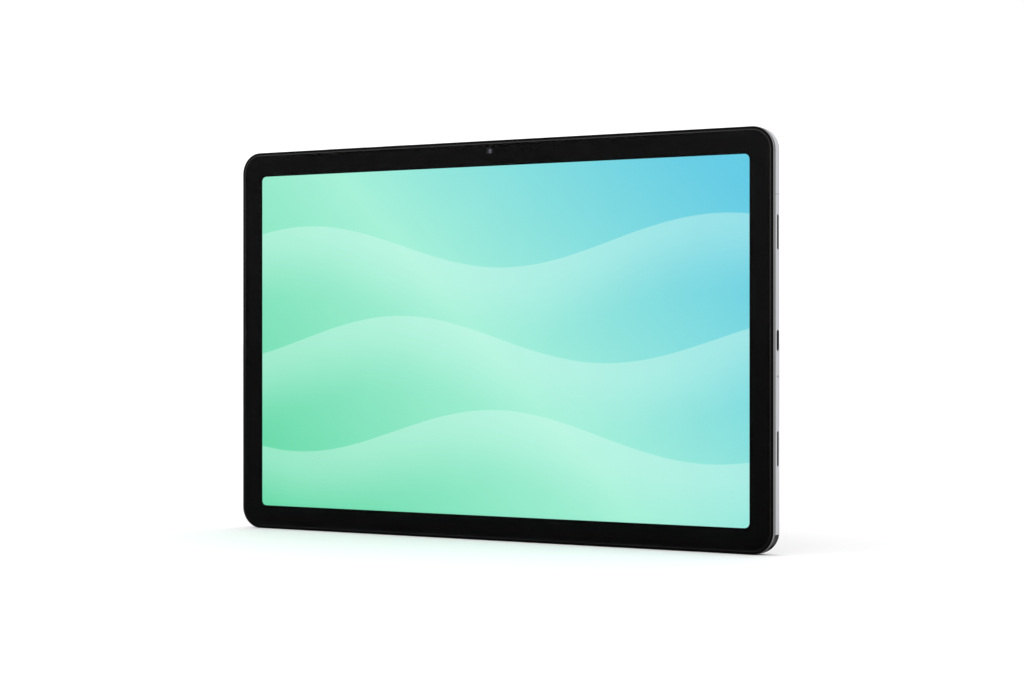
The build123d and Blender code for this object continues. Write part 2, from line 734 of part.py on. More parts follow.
def eject_lever():
    """Rocking lever between the rod and the tray's inner end."""
    x, z = LEVER_PIVOT
    bar = SlotOverall(LEVER_LENGTH, 2 * LEVER_HALF)
    lever = slab(at(x + LEVER_SHIFT, z) * bar, *EJECT_DEPTHS)
    lever += disc(x, z, LEVER_HUB_R, *EJECT_DEPTHS)
    return lever - disc(x, z, PIN_R + 0.05, 3, 6)


# ---- Boards and battery ------------------------------------------------------------------------


def drill(board, places):
    """Board with clearance holes for its screws."""
    for x, z in places:
        board -= disc(x, z, SCREW_R + SCREW_CLEAR, 2, 6)
    return board


def main_board():
    """Processor board behind the upper right of the screen."""
    board = block((14, 102), (118, 165), (BOARD_FRONT, BOARD_BACK))
    board += block((102, 108), (118, 145), (BOARD_FRONT, BOARD_BACK))
    board = fillet(board.edges().filter_by(Axis.Y), 1.0)
    return drill(board, MAIN_SCREWS)


def sub_board():
    """Connector board round the USB-C socket."""
    board = block((96, 126), (62, 100), (SUB_BOARD_FRONT, SUB_BOARD_BACK))
    board = fillet(board.edges().filter_by(Axis.Y), 1.0)
    reach = USB_OPENING[0] / 2 + USB_SHELL_WALL + 0.1
    board -= block((HALF - WALL - USB_LENGTH - 0.1, 127), (MIDDLE_Z - reach, MIDDLE_Z + reach), (3, 6))
    mic_z = MIDDLE_Z - MIC_DROP
    board -= block((HALF - 2.8, 127), (mic_z - 1.9, mic_z + 1.9), (3, 6))
    return drill(board, SUB_SCREWS)


def board_screws():
    """Screws of both boards, with cross recesses."""
    screws = []
    for places, seat, tip in ((MAIN_SCREWS, BOARD_BACK, 2.45), (SUB_SCREWS, SUB_BOARD_BACK, 2.6)):
        for x, z in places:
            screw = disc(x, z, SCREW_R, tip, seat)
            screw += disc(x, z, SCREW_HEAD_R, seat, seat + SCREW_HEAD_HIGH)
            for cross in (Rectangle(*SCREW_CROSS), Rectangle(*reversed(SCREW_CROSS))):
                screw -= slab(at(x, z) * cross, seat + SCREW_HEAD_HIGH / 2, seat + 1)
            screws.append(screw)
    return Compound(children=screws)


def shield_can(xs, zs):
    """Pressed metal cover over the chips, open towards the board."""
    can = block(xs, zs, (BOARD_BACK, SHIELD_BACK))
    can = fillet(can.edges().filter_by(Axis.Y), 1.2)
    inner_xs = (xs[0] + SHEET_WALL, xs[1] - SHEET_WALL)
    inner_zs = (zs[0] + SHEET_WALL, zs[1] - SHEET_WALL)
    hollow = block(inner_xs, inner_zs, (3, SHIELD_BACK - SHEET_WALL))
    return can - fillet(hollow.edges().filter_by(Axis.Y), 1.0)


def processor_shield():
    """Shield over the processor and the memory."""
    return shield_can((22, 49), (126, 157))


def radio_shield():
    """Shield over the radio and power chips."""
    return shield_can((74, 99), (124, 156))


def board_chips():
    """Processor, storage and power chips, soldered under the shields."""
    processor = block((26, 40), (140, 154), (BOARD_BACK, 4.6))
    storage = block((27, 38.5), (128, 137), (BOARD_BACK, 4.5))
    power = block((79, 92), (134, 147), (BOARD_BACK, 4.4))
    return Compound(children=[processor, storage, power])


def battery_cell(side):
    """Pouch cell with rounded edges."""
    near, far = CELL_XS
    cell = block((near, far), (CELL_LOW_Z, CELL_HIGH_Z), (CELL_FRONT, CELL_BACK))
    cell = fillet(cell.edges(), CELL_EDGE_R)
    return cell if side > 0 else cell.mirror(Plane.YZ)


def battery_tape():
    """Pull tabs under the cells that hold them to the support plate."""
    strips = []
    zs = (CELL_LOW_Z + 6, CELL_HIGH_Z - 6)
    for x in TAPE_XS:
        strips.append(block((x - TAPE_HALF, x + TAPE_HALF), zs, (PLATE_BACK, CELL_FRONT)))
    return Compound(children=strips)


def battery_board():
    """Protection board along the top of the cells, with its ribbon to the main board."""
    board = block((-40, 40), (CELL_HIGH_Z, CELL_HIGH_Z + 4), (BOARD_FRONT, BOARD_BACK))
    for x in (-30, -8, 14):
        board += block((x - 2.5, x + 2.5), (CELL_HIGH_Z + 1, CELL_HIGH_Z + 3), (BOARD_BACK, 4.3))
    board += block((24, 34), (CELL_HIGH_Z + 0.5, 123), (BOARD_BACK, BOARD_BACK + 0.15))
    return board + block((24, 34), (120, 123), (BOARD_BACK + 0.15, 4.4))


def board_link_flex():
    """Ribbon between the main board and the connector board."""
    half = LINK_FLEX_HALF_THICK
    level_a, level_b = BOARD_BACK + half, SUB_BOARD_FRONT - half
    route = [(level_a, 124), (level_a, 116), (level_b, 104), (level_b, 94)]
    front = [(y_at(depth - half), z) for depth, z in route]
    rear = [(y_at(depth + half), z) for depth, z in reversed(route)]
    section = Plane.YZ * make_face(Polyline(*front, *rear, close=True))
    return Pos(LINK_FLEX_X, 0, 0) * extrude(section, LINK_FLEX_WIDTH)


def antennas():
    """Two plastic carriers with plated antenna tracks."""
    carrier = block((-118, -94), (159.5, 166.4), (2.6, 5.9))
    side_carrier = block((-126.6, -119.7), (72.0, 96.0), (2.6, 5.9))
    return Compound(children=[carrier, side_carrier])


def antenna_cable():
    """Fine coaxial lead clipped between the main board and the upper antenna."""
    y = y_at(CABLE_DEPTH)
    route = [(17, y, 138.0), (4, y, 138.0), (-18, y, 154.0), (-93.95, y, 154.0)]
    path = FilletPolyline(*route, radius=CABLE_BEND_R)
    return sweep(Plane(path @ 0, z_dir=path % 0) * Circle(CABLE_R), path)


def graphite_sheet():
    """Heat spreading sheet inside the rear cover."""
    sheet = at(-12, 72) * RectangleRounded(190, 120, 4)
    return slab(sheet, INSIDE_BACK - GRAPHITE_THICK, INSIDE_BACK)


# ---- Cameras -----------------------------------------------------------------------------------


def rear_camera_ring():
    """Raised metal ring round the rear camera's window."""
    top = THICKNESS + CAMERA_PROUD
    ring = disc(CAMERA_X, CAMERA_Z, CAMERA_RING_R, THICKNESS, top)
    ring = fillet(ring.faces().sort_by(Axis.Y)[-1].edges(), 0.4)
    ring += disc(CAMERA_X, CAMERA_Z, CAMERA_NECK_R, INSIDE_BACK, THICKNESS)
    ring -= disc(CAMERA_X, CAMERA_Z, CAMERA_GLASS_R, CAMERA_WINDOW_FRONT, 9)
    return ring - disc(CAMERA_X, CAMERA_Z, CAMERA_SEAT_R, 5, 9)


def rear_camera_glass():
    """Window in the ring."""
    back = THICKNESS + CAMERA_PROUD - 0.15
    return disc(CAMERA_X, CAMERA_Z, CAMERA_GLASS_R, CAMERA_WINDOW_FRONT, back)


def rear_camera_housing():
    """Square camera body with the bore that the lens barrel slides in."""
    xs = (CAMERA_X - CAMERA_BODY_HALF, CAMERA_X + CAMERA_BODY_HALF)
    zs = (CAMERA_Z - CAMERA_BODY_HALF, CAMERA_Z + CAMERA_BODY_HALF)
    body = block(xs, zs, CAMERA_BODY_DEPTHS)
    body = fillet(body.edges().filter_by(Axis.Y), 0.6)
    return body - disc(CAMERA_X, CAMERA_Z, BARREL_R + BARREL_CLEAR, 4.4, 7)


def rear_camera_lens():
    """Lens barrel, stepped towards its front element."""
    barrel = disc(CAMERA_X, CAMERA_Z, BARREL_R, *BARREL_DEPTHS)
    barrel += disc(CAMERA_X, CAMERA_Z, BARREL_STEP_R, BARREL_DEPTHS[1], BARREL_TOP)
    cone = Pos(CAMERA_X, y_at(6.55), CAMERA_Z) * Rot(-90, 0, 0) * Cone(1.0, 1.7, 0.5)
    return barrel - cone


def front_camera():
    """Front camera body behind the top border."""
    body = block((-2.5, 2.5), (FRONT_CAMERA_Z - 2.1, FRONT_CAMERA_Z + 2.2), (0.8, 3.6))
    body += disc(0, FRONT_CAMERA_Z, FRONT_CAMERA_RING_R - 0.05, INK_BACK, 0.8)
    return body - disc(0, FRONT_CAMERA_Z, FRONT_CAMERA_LENS_R, 0, 1.6)


def front_camera_lens():
    """Front element of the front camera."""
    return disc(0, FRONT_CAMERA_Z, FRONT_CAMERA_LENS_R, 0.95, 1.6)


PARTS = {
    "cover_glass": cover_glass,
    "ink_border": ink_border,
    "optical_adhesive": optical_adhesive,
    "lcd_panel": lcd_panel,
    "optical_films": optical_films,
    "light_guide": light_guide,
    "reflector_sheet": reflector_sheet,
    "led_strip": led_strip,
    "backlight_tray": backlight_tray,
    "display_flex": display_flex,
    "timing_board": timing_board,
    "glass_tape": glass_tape,
    "display_foam": display_foam,
    "front_frame": front_frame,
    "mid_plate": mid_plate,
    "rear_cover": rear_cover,
    "antenna_cover": antenna_cover,
    "antenna_seam": antenna_seam,
    "jack_cap": jack_cap,
    "headphone_jack": headphone_jack,
    "jack_contacts": jack_contacts,
    "usb_shell": usb_shell,
    "usb_tongue": usb_tongue,
    "speaker_drivers": speaker_drivers,
    "speaker_meshes": speaker_meshes,
    "microphones": microphones,
    "volume_key": volume_key,
    "power_key": power_key,
    "key_switches": key_switches,
    "key_flex": key_flex,
    "key_bracket": key_bracket,
    "card_tray": card_tray,
    "memory_card": memory_card,
    "card_socket": card_socket,
    "eject_rod": eject_rod,
    "eject_lever": eject_lever,
    "main_board": main_board,
    "sub_board": sub_board,
    "board_screws": board_screws,
    "processor_shield": processor_shield,
    "radio_shield": radio_shield,
    "board_chips": board_chips,
    "battery_tape": battery_tape,
    "battery_board": battery_board,
    "board_link_flex": board_link_flex,
    "antennas": antennas,
    "antenna_cable": antenna_cable,
    "graphite_sheet": graphite_sheet,
    "rear_camera_ring": rear_camera_ring,
    "rear_camera_glass": rear_camera_glass,
    "rear_camera_housing": rear_camera_housing,
    "rear_camera_lens": rear_camera_lens,
    "front_camera": front_camera,
    "front_camera_lens": front_camera_lens,
}

SIDES = {"left": -1, "right": 1}
LEVELS = {"upper": SPEAKER_OFFSET, "lower": -SPEAKER_OFFSET}

os.makedirs("parts", exist_ok=True)
for name, make in PARTS.items():
    export_step(make(), f"parts/{name}.step")
for side_name, side in SIDES.items():
    export_step(battery_cell(side), f"parts/battery_cell_{side_name}.step")
    for level_name, offset in LEVELS.items():
        export_step(speaker_box(side, offset), f"parts/speaker_{side_name}_{level_name}.step")
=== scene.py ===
import json
import math

import bmesh
import bpy
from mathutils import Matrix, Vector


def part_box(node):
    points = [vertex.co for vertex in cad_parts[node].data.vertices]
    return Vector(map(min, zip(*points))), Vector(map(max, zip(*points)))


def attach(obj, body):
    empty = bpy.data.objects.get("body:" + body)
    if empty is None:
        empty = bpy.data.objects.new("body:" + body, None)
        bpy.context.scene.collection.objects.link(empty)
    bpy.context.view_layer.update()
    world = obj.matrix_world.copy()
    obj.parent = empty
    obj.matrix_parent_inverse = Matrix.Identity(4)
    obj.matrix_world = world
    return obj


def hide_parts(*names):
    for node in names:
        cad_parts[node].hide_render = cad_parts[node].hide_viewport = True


# Looks of the tablet computer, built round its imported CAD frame. Metres throughout: X to the
# user's right, Y from the front glass to the rear, Z up from the lower edge.

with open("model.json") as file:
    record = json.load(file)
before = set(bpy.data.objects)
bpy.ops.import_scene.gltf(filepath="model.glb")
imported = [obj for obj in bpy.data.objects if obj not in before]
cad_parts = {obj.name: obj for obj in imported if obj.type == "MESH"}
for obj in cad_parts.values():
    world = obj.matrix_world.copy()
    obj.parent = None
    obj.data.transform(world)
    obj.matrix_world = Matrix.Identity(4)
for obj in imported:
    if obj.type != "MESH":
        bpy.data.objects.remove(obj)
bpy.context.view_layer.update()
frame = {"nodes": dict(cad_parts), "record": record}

MM = 0.001
NODES = frame["nodes"]

# The housing's outline and the screen, read from the frame
BODY_LOW, BODY_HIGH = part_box("front_frame")
GLASS_LOW, GLASS_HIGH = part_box("cover_glass")
SHEET_LOW, SHEET_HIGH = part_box("optical_adhesive")
PANEL_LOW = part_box("lcd_panel")[0]
HALF_WIDTH = BODY_HIGH.x
MIDDLE_Z = (BODY_LOW.z + BODY_HIGH.z) / 2
BODY_CORNER = 9.3 * MM

# Glass
GLASS_EDGE_IN = 0.85 * MM
GLASS_EDGE_DOWN = 0.42 * MM
# Width of the flat band that carries the painted highlight line
GLASS_LINE = 0.45 * MM
COATED_INDEX = 1.12
SKIN = 0.02 * MM
GLASS_ROLL_STEPS = 14
CAMERA_WINDOW_INDEX = 1.25
CAMERA_WINDOW_TINT = (0.55, 0.55, 0.6)

# Camera and light
CAMERA_PLACE = (0.4354, -0.7560, 0.0841)
CAMERA_TURN = math.radians(29.411)
CAMERA_LENS = 72.5
CAMERA_SENSOR = 36.0
SKY_LEVEL = 1.55
SKY_TOP = 1.45
FLOOR_RADIUS = 60.0
FLOOR_GAP = 0.05 * MM
LIGHT_AIM = (0, 0, 0.08)


# ---- Node graphs --------------------------------------------------------------------------------


class Value:
    """Output of a node, with the arithmetic that builds more nodes."""

    def __init__(self, graph, socket):
        self.graph = graph
        self.socket = socket

    def __add__(self, other):
        return self.graph.math("ADD", self, other)

    def __sub__(self, other):
        return self.graph.math("SUBTRACT", self, other)

    def __mul__(self, other):
        return self.graph.math("MULTIPLY", self, other)


class Graph:
    """One shader graph, with short calls for the nodes that the materials share."""

    def __init__(self, tree, output):
        self.tree = tree
        self.output = output
        self.place = self.node("ShaderNodeTexCoord").outputs["Object"]
        self.axes = self.node("ShaderNodeSeparateXYZ", Vector=self.place).outputs

    def node(self, kind, settings=None, **inputs):
        made = self.tree.nodes.new(kind)
        for key, value in (settings or {}).items():
            setattr(made, key, value)
        for key, value in inputs.items():
            self.feed(made.inputs[key.replace("_", " ")], value)
        return made

    def feed(self, socket, value):
        """Link a value, or set a constant on the socket itself."""
        if isinstance(value, Value):
            value = value.socket
        if isinstance(value, bpy.types.NodeSocket):
            self.tree.links.new(value, socket)
        elif value is not None:
            socket.default_value = value

    def axis(self, name):
        """X, Y or Z of the surface point in the tablet's frame, in millimetres."""
        return Value(self, self.axes[name]) * 1000.0

    def math(self, operation, *values):
        made = self.node("ShaderNodeMath", {"operation": operation})
        for socket, value in zip(made.inputs, values):
            self.feed(socket, value)
        return Value(self, made.outputs[0])

    def rise(self, value, start, end):
        """Smooth step from 0 at start to 1 at end."""
        made = self.node("ShaderNodeMapRange", {"interpolation_type": "SMOOTHSTEP"})
        for key, number in (("Value", value), ("From Min", start), ("From Max", end)):
            self.feed(made.inputs[key], number)
        return Value(self, made.outputs["Result"])

    def distance(self, x, z):
        """Distance in the outline's plane from a place in millimetres."""
        across = self.axis("X") - x
        up = self.axis("Z") - z
        return self.math("SQRT", across * across + up * up)

    def ramp(self, factor, stops, interpolation="LINEAR"):
        made = self.node("ShaderNodeValToRGB", Fac=factor)
        made.color_ramp.interpolation = interpolation
        elements = made.color_ramp.elements
        while len(elements) < len(stops):
            elements.new(0.5)
        for element, (position, shade) in zip(elements, stops):
            element.position = position
            element.color = (*shade, 1.0)
        return Value(self, made.outputs["Color"])

    def mix(self, factor, first, second):
        """Colour between two colours."""
        made = self.node("ShaderNodeMix", {"data_type": "RGBA"})
        self.feed(made.inputs[0], factor)
        for socket, shade in ((made.inputs[6], first), (made.inputs[7], second)):
            self.feed(socket, (*shade, 1.0) if isinstance(shade, tuple) else shade)
        return Value(self, made.outputs[2])

    def noise(self, size_mm, detail=2.0, stretch=(1.0, 1.0, 1.0)):
        """Noise with features of about this size, from 0 to 1."""
        place = self.node("ShaderNodeMapping", Vector=self.place, Scale=stretch).outputs[0]
        made = self.node("ShaderNodeTexNoise", Vector=place, Scale=1000.0 / size_mm, Detail=detail)
        return Value(self, made.outputs["Fac"])

    def spread(self, value, low, high):
        """Value from 0 to 1 laid between low and high."""
        return value * (high - low) + low

    def bump(self, height, depth_mm):
        made = self.node("ShaderNodeBump", Distance=depth_mm * MM, Strength=1.0)
        self.feed(made.inputs["Height"], height)
        return made.outputs["Normal"]

    def principled(self, shade, roughness, normal=None, **inputs):
        made = self.node("ShaderNodeBsdfPrincipled", **inputs)
        self.feed(made.inputs["Base Color"], (*shade, 1.0) if isinstance(shade, tuple) else shade)
        self.feed(made.inputs["Roughness"], roughness)
        self.feed(made.inputs["Normal"], normal)
        return made.outputs[0]

    def surface(self, shader):
        self.feed(self.output.inputs["Surface"], shader)


def material(name):
    """New empty material and its graph."""
    made = bpy.data.materials.new(name)
    made.use_nodes = True
    made.node_tree.nodes.clear()
    output = made.node_tree.nodes.new("ShaderNodeOutputMaterial")
    return made, Graph(made.node_tree, output)


def scaled(shade, factor):
    """Colour made lighter or darker by a factor."""
    return tuple(level * factor for level in shade)


# ---- Screen picture -----------------------------------------------------------------------------

# Plain sweep from the lower left corner to the upper right one, with wide waves (millimetres)
SWEEP = ((0.0, (0.4, 0.85, 0.65)), (0.5, (0.65, 0.95, 0.85)), (1.0, (0.4, 0.8, 0.9)))
SWEEP_START = -100.0
SWEEP_END = 260.0
SCREEN_GAMMA = 2.2
WAVES = 3
WAVE_FIRST = 45.0
WAVE_STEP = 40.0
WAVE_LENGTH = 200.0
WAVE_HEIGHT = 10.0
WAVE_TURN = 1.5
WAVE_EDGE = 0.3
WAVE_FADE = 35.0
WAVE_SHADE = (0.85, 1.0, 0.95)
WAVE_STRENGTH = 0.4


def wave_picture(g):
    """Plain picture: a slanted sweep of green to blue with a few wide waves that fade downwards."""
    x, z = g.axis("X"), g.axis("Z")
    sweep = (x + z - SWEEP_START) * (1 / (SWEEP_END - SWEEP_START))
    picture = g.ramp(sweep, SWEEP)
    for number in range(WAVES):
        crest = WAVE_FIRST + number * WAVE_STEP
        angle = x * (math.tau / WAVE_LENGTH) + (number + 1) * WAVE_TURN
        height = z - g.math("SINE", angle) * WAVE_HEIGHT
        below = g.rise(height, crest + WAVE_EDGE, crest - WAVE_EDGE)
        near = g.rise(height, crest - WAVE_FADE, crest)
        picture = g.mix(below * near * WAVE_STRENGTH, picture, WAVE_SHADE)
    return picture


def display():
    """Lit panel with the picture on its front face, and dark glass at its cut edges."""
    made, g = material("display")
    glow = g.node("ShaderNodeGamma", Color=wave_picture(g), Gamma=SCREEN_GAMMA).outputs[0]
    lit = g.node("ShaderNodeEmission", Color=glow, Strength=1.0).outputs[0]
    cut = g.principled((0.012, 0.014, 0.014), 0.35)
    depth = g.axis("Y") - (PANEL_LOW.y / MM + 0.05)
    mixed = g.node("ShaderNodeMixShader", Fac=g.math("GREATER_THAN", depth, 0.0))
    g.feed(mixed.inputs[1], lit)
    g.feed(mixed.inputs[2], cut)
    g.surface(mixed.outputs[0])
    return made


# ---- Glass --------------------------------------------------------------------------------------


def glass(name, index, tint=(1.0, 1.0, 1.0)):
    """Clear glass with a faint gloss over it, as if coated against reflections."""
    made, g = material(name)
    smear = g.spread(g.noise(30.0, 3.0), 0.015, 0.045)
    clear = g.node("ShaderNodeBsdfTransparent", Color=(*tint, 1.0)).outputs[0]
    gloss = g.node("ShaderNodeBsdfGlossy", Roughness=smear).outputs[0]
    mixed = g.node("ShaderNodeMixShader", Fac=g.node("ShaderNodeFresnel", IOR=index).outputs[0])
    g.feed(mixed.inputs[1], clear)
    g.feed(mixed.inputs[2], gloss)
    g.surface(mixed.outputs[0])
    return made


def painted_sheen_band(name, low_sheen, high_sheen, roughness):
    """Edge of the glass over the black print, with the sky's reflection painted in: greyer towards
    the top where it meets the sky.
    """
    made, g = material(name)
    # Painted sheen: the grey level climbs with height in place of the reflected sky
    height = g.rise(g.axis("Z"), 0.0, 165.0)
    shade = g.mix(height, (low_sheen,) * 3, (high_sheen,) * 3)
    smear = g.noise(9.0, 3.0)
    colour = g.mix(smear, shade, g.mix(height, (low_sheen * 1.1,) * 3, (high_sheen * 1.1,) * 3))
    rough = g.spread(smear, roughness, roughness + 0.08)
    g.surface(g.principled(colour, rough, **{"Specular IOR Level": 0.02}))
    return made


def clear_back(name):
    """Rear face of a bonded sheet, where no air is left to reflect."""
    made, g = material(name)
    haze = g.ramp(g.noise(18.0, 2.0), ((0.0, (0.985, 0.99, 0.99)), (1.0, (1.0, 1.0, 1.0))))
    g.surface(g.node("ShaderNodeBsdfTransparent", Color=haze).outputs[0])
    return made


# ---- Metals and plastics ------------------------------------------------------------------------


def metal(name, shade, roughness=0.36, grain_mm=0.16, grain_depth_mm=0.003, cloud=0.03):
    """Fine blasted metal: grain in the surface, and faint cloudy changes in its sheen."""
    made, g = material(name)
    sheen = g.spread(g.noise(22.0, 3.0), roughness - cloud, roughness + cloud)
    colour = g.mix(g.noise(0.4, 4.0), scaled(shade, 0.94), shade)
    normal = g.bump(g.noise(grain_mm, 3.0), grain_depth_mm)
    g.surface(g.principled(colour, sheen, normal, Metallic=1.0))
    return made


def plastic(name, shade, roughness=0.5, grain_mm=0.12, grain_depth_mm=0.004, specular=0.4):
    """Moulded plastic with a fine spark-eroded texture."""
    made, g = material(name)
    grain = g.noise(grain_mm, 3.0)
    rough = g.spread(g.noise(6.0, 3.0), roughness - 0.05, roughness + 0.05)
    lighter = tuple(min(level * 1.15, 1.0) for level in shade)
    colour = g.mix(grain, shade, lighter)
    normal = g.bump(grain, grain_depth_mm)
    g.surface(g.principled(colour, rough, normal, **{"Specular IOR Level": specular}))
    return made


def ink():
    """Screen-printed black with a soft satin, and a painted sheen that turns it a little greyer
    towards the upper edge.
    """
    made, g = material("black_print")
    deep = g.mix(g.noise(0.25, 4.0), (0.0004, 0.0004, 0.0004), (0.0010, 0.0010, 0.0011))
    top_sheen = g.mix(g.noise(0.25, 4.0), (0.0036, 0.0036, 0.0036), (0.0048, 0.0048, 0.0049))
    # Painted sheen: the black turns greyer with height in place of the reflected sky
    colour = g.mix(g.rise(g.axis("Z"), 10.0, 190.0), deep, top_sheen)
    rough = g.spread(g.noise(3.0, 3.0), 0.5, 0.62)
    g.surface(g.principled(colour, rough, **{"Specular IOR Level": 0.01}))
    return made


def frame_ring():
    """Satin grey moulding with painted light: a painted sheen on the slope by the glass, painted
    shade behind it, and a painted shadow along its front lip and at the foot.
    """
    made, g = material("grey_frame")
    depth = g.axis("Y") - (BODY_LOW.y / MM)
    # Painted shadow along the front lip next to the glass
    lip_shadow = g.rise(depth, 0.32, 0.2)
    # Painted sheen on the slope by the glass, painted shade behind it
    band = g.rise(depth, 0.75, 0.9)
    flake = g.noise(0.1, 4.0)
    light = g.mix(flake, FRAME_SHEEN, scaled(FRAME_SHEEN, FLAKE))
    dark = g.mix(flake, FRAME_SHADE, scaled(FRAME_SHADE, FLAKE))
    sheen_and_shade = g.mix(band, light, dark)
    # Painted shade: the frame turns darker towards the lower edge
    foot_shade = g.rise(g.axis("Z"), 9.0, 1.0)
    colour = g.mix(g.math("MAXIMUM", lip_shadow, foot_shade), sheen_and_shade, FRAME_SHADOW)
    rough = g.spread(g.noise(4.0, 3.0), 0.4, 0.5)
    normal = g.bump(g.noise(0.14, 3.0), 0.002)
    g.surface(g.principled(colour, rough, normal, **{"Specular IOR Level": 0.12}))
    return made


def circuit_board():
    """Green solder mask over copper lines and pads."""
    made, g = material("circuit_board")
    lines = g.node("ShaderNodeTexBrick", Vector=g.place, Scale=900.0, Mortar_Size=0.09).outputs["Fac"]
    cells = g.node("ShaderNodeTexVoronoi", {"feature": "F1"}, Vector=g.place, Scale=420.0)
    pads = g.rise(Value(g, cells.outputs["Distance"]), 0.22, 0.18)
    mask = g.mix(lines, (0.006, 0.05, 0.022), (0.012, 0.09, 0.035))
    colour = g.mix(pads, mask, (0.55, 0.42, 0.16))
    rough = g.spread(pads, 0.4, 0.3)
    normal = g.bump(Value(g, lines) + pads, 0.03)
    g.surface(g.principled(colour, rough, normal))
    return made


def flex_circuit():
    """Amber polyimide ribbon with fine copper tracks."""
    made, g = material("flex_circuit")
    tracks = g.node("ShaderNodeTexWave", {"wave_profile": "SIN"}, Vector=g.place, Scale=900.0)
    stripe = g.rise(Value(g, tracks.outputs["Fac"]), 0.4, 0.6)
    colour = g.mix(stripe, (0.33, 0.12, 0.02), (0.6, 0.3, 0.09))
    rough = g.spread(g.noise(2.0, 3.0), 0.28, 0.42)
    g.surface(g.principled(colour, rough, g.bump(stripe, 0.01)))
    return made


def woven_mesh():
    """Dark dust mesh, woven from fine wire."""
    made, g = material("dark_mesh")
    weave = g.node("ShaderNodeTexChecker", Vector=g.place, Scale=5200.0).outputs["Fac"]
    colour = g.mix(weave, (0.05, 0.05, 0.052), (0.1, 0.1, 0.105))
    g.surface(g.principled(colour, 0.45, g.bump(weave, 0.02), Metallic=0.8))
    return made


def brushed(name, shade, roughness=0.3, along=(1.0, 1.0, 0.03)):
    """Rolled or drawn metal with fine lines along one direction."""
    made, g = material(name)
    lines = g.noise(0.12, 4.0, along)
    colour = g.mix(lines, scaled(shade, 0.85), shade)
    rough = g.spread(lines, roughness - 0.08, roughness + 0.1)
    g.surface(g.principled(colour, rough, g.bump(lines, 0.003), Metallic=1.0))
    return made


def turned(name, shade, x_mm, z_mm, pitch_mm=0.09, roughness=0.2):
    """Turned metal: fine rings round an axis that runs from front to rear."""
    made, g = material(name)
    rings = g.math("SINE", g.distance(x_mm, z_mm) * (math.tau / pitch_mm))
    height = rings * 0.5 + 0.5
    colour = g.mix(height, scaled(shade, 0.9), shade)
    rough = g.spread(g.noise(2.5, 3.0), roughness, roughness + 0.12)
    g.surface(g.principled(colour, rough, g.bump(height, 0.0015), Metallic=1.0))
    return made


def coated_lens(name, shade):
    """Dark lens with the coloured bloom of its coating."""
    made, g = material(name)
    bloom = g.mix(g.noise(1.4, 2.0), shade, scaled(shade, 2.2))
    finish = {"Coat Weight": 1.0, "Coat Roughness": 0.02, "Specular IOR Level": 0.6}
    g.surface(g.principled(bloom, g.spread(g.noise(0.5, 2.0), 0.03, 0.08), **finish))
    return made


def laminate(name, shade, foil=0.0, size_mm=3.0, depth_mm=0.05):
    """Pouch foil, foam, tape or graphite: a soft uneven skin."""
    made, g = material(name)
    crease = g.noise(size_mm, 5.0)
    colour = g.mix(crease, scaled(shade, 0.8), shade)
    rough = g.spread(crease, 0.35, 0.6)
    g.surface(g.principled(colour, rough, g.bump(crease, depth_mm), Metallic=foil))
    return made


# ---- Finishes of the CAD nodes ------------------------------------------------------------------

SILVER = (0.45, 0.455, 0.48)
# Grey frame: painted sheen on the slope and painted shade behind it
FRAME_SHEEN = (0.225, 0.225, 0.225)
FRAME_SHADE = (0.055, 0.055, 0.055)
# Painted shadow of the grey frame, at its front lip and its foot
FRAME_SHADOW = (0.03, 0.03, 0.03)
FLAKE = 1.12
STEEL = (0.5, 0.5, 0.49)
GOLD = (0.75, 0.5, 0.18)
BLACK = (0.005, 0.005, 0.0055)


def finishes():
    """Material of each of the record's slots that a CAD node keeps."""
    ring_low, ring_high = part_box("rear_camera_ring")
    lens_x = (ring_low.x + ring_high.x) / 2 / MM
    lens_z = (ring_low.z + ring_high.z) / 2 / MM
    return {
        "black_print": ink(),
        "display": display(),
        "white_sheet": laminate("white_sheet", (0.8, 0.82, 0.83), 0.0, 0.5, 0.004),
        "flex_circuit": flex_circuit(),
        "steel_sheet": brushed("steel_sheet", STEEL),
        "circuit_board": circuit_board(),
        "black_foam": laminate("black_foam", (0.02, 0.02, 0.02), 0.0, 0.3, 0.06),
        "grey_frame": frame_ring(),
        "chassis_metal": metal("chassis_metal", (0.33, 0.33, 0.34), 0.5, 0.5, 0.02),
        "silver_metal": metal("silver_metal", SILVER),
        "grey_seam": plastic("grey_seam", (0.27, 0.27, 0.285), 0.5, 0.1, 0.002, 0.2),
        "black_plastic": plastic("black_plastic", BLACK, 0.5, 0.12, 0.004, 0.08),
        "contact_metal": metal("contact_metal", GOLD, 0.22, 0.3, 0.002),
        "socket_steel": brushed("socket_steel", (0.12, 0.12, 0.13), 0.35, (0.03, 1.0, 1.0)),
        "speaker_cone": laminate("speaker_cone", (0.03, 0.03, 0.032), 0.0, 0.4, 0.02),
        "dark_mesh": woven_mesh(),
        "silver_key": metal("silver_key", SILVER, 0.32),
        "tray_metal": metal("tray_metal", SILVER, 0.34),
        "screw_steel": metal("screw_steel", STEEL, 0.28, 0.3, 0.004),
        "chip_plastic": plastic("chip_plastic", (0.02, 0.02, 0.021), 0.38, 0.06, 0.003),
        "battery_pouch": laminate("battery_pouch", (0.5, 0.51, 0.53), 0.7, 4.0, 0.08),
        "cable_jacket": plastic("cable_jacket", (0.02, 0.02, 0.02), 0.4, 0.2, 0.003),
        "graphite": laminate("graphite", (0.05, 0.05, 0.052), 0.3, 1.5, 0.01),
        "camera_ring": turned("camera_ring", (0.36, 0.365, 0.385), lens_x, lens_z),
        "lens_black": coated_lens("lens_black", (0.006, 0.006, 0.012)),
        "camera_trim": turned("camera_trim", (0.03, 0.03, 0.032), 0.0, 164.2, 0.12, 0.3),
        "lens_glass": coated_lens("lens_glass", (0.012, 0.006, 0.03)),
    }


